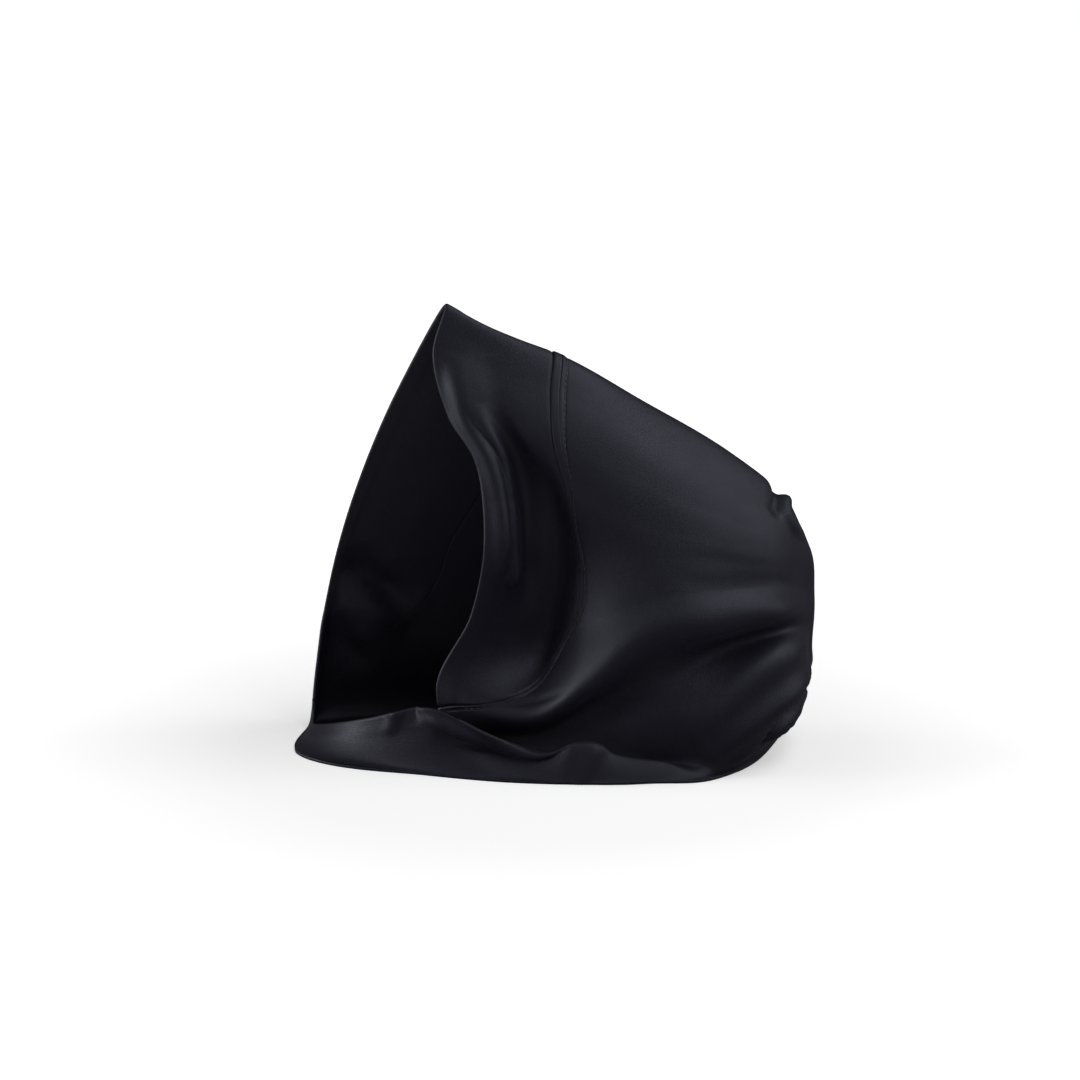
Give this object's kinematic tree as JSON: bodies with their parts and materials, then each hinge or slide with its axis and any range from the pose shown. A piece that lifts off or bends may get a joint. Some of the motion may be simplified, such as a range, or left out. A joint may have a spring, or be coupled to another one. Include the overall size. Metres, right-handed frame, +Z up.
{
  "type": "skull cap",
  "caption": "Soft satin skull cap with a rounded crown and a stitched front panel, lying on its side with the opening to one end.",
  "frame": {"origin": "under the middle of the cap's bounding box, on the surface the cap lies on", "axes": "+X from the opening towards the back of the head, +Y from the near side to the far side, +Z up"},
  "size_m": [0.2528, 0.1238, 0.2174],
  "materials": {
    "satin": "black satin weave, softly shining"
  },
  "bodies": {
    "root": {"crown": "satin", "front_panel": "satin"}
  },
  "joints": []
}
